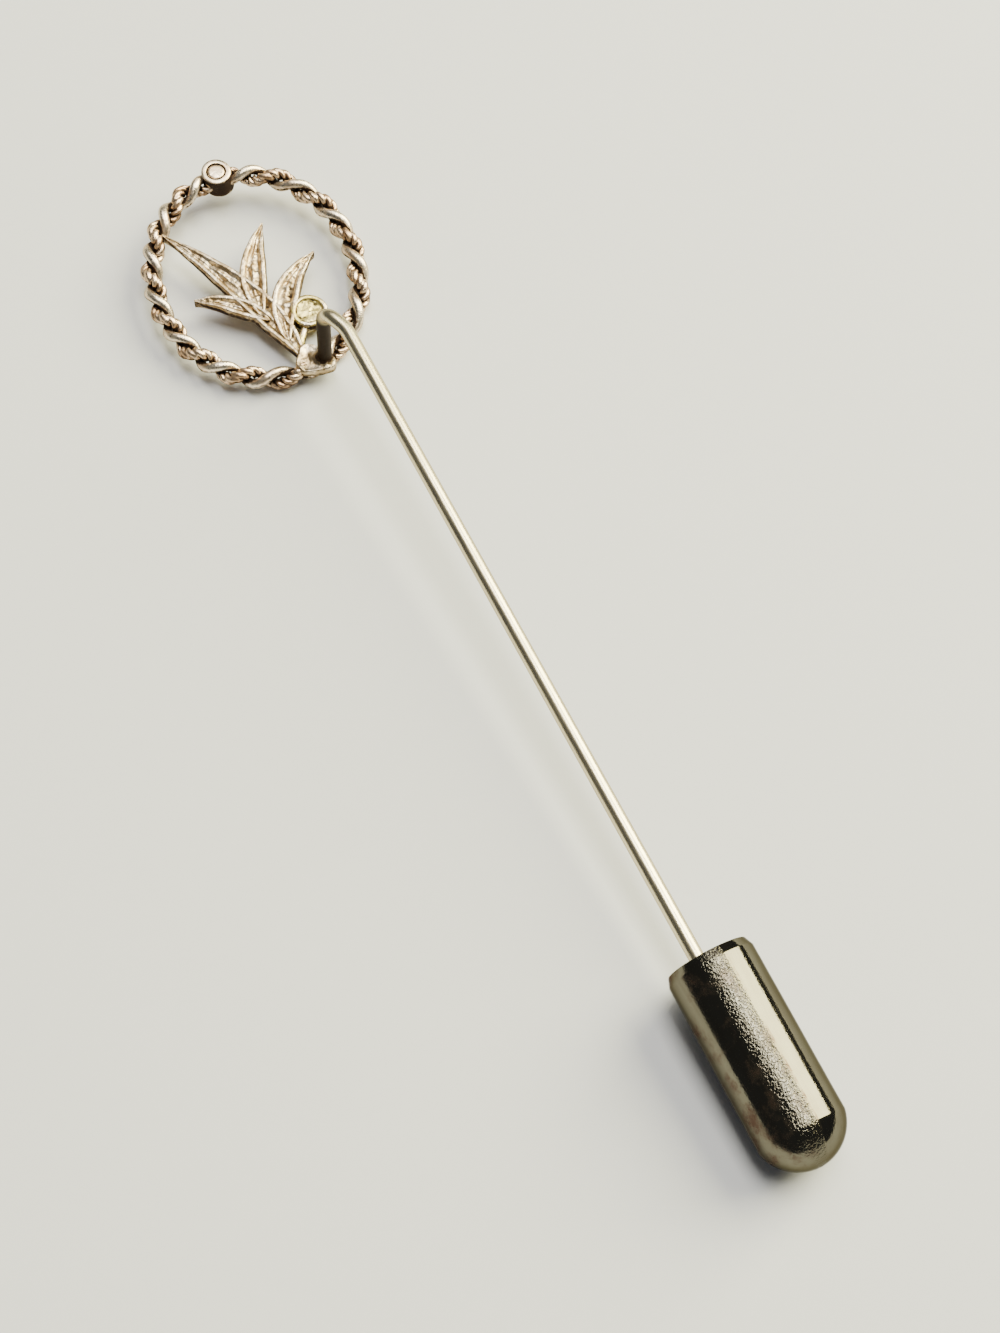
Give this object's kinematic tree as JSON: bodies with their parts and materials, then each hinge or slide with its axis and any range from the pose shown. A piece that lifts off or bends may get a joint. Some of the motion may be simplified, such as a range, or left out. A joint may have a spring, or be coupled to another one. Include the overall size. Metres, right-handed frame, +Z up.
{
  "type": "stick pin",
  "caption": "Stick pin with an oval twisted-rope ring round an openwork leaf sprig, a small stone setting, a long pin wire and a slide-on bullet clutch.",
  "frame": {"origin": "centre of the bounding box on the surface that the pin lies on", "axes": "+X from the head towards the clutch, +Z up from the jewel's front to its back as it lies face down"},
  "size_m": [0.0714, 0.014, 0.007],
  "materials": {
    "rosy_plate": "worn rosy gold plate over cast metal, dark in its recesses",
    "pale_plate": "pale worn plate with a soft polish",
    "sprig_plate": "rough cast back with rubbed bright edges",
    "pin_wire": "drawn wire, pale gold, worn",
    "gunmetal": "dark nickel with fine pits and length-wise wear",
    "grip_steel": "plain turned steel",
    "clear_stone": "polished facets"
  },
  "bodies": {
    "pin": {"head_and_pin": "rosy_plate", "stone": "clear_stone"},
    "clutch": {"clutch_shell": "gunmetal", "clutch_grip": "grip_steel"}
  },
  "joints": [
    {"name": "clutch_slide", "type": "slide", "parent": "pin", "child": "clutch", "axis": [0.9968, 0, -0.0794], "range_m": [-0.0024, 0.014]}
  ]
}
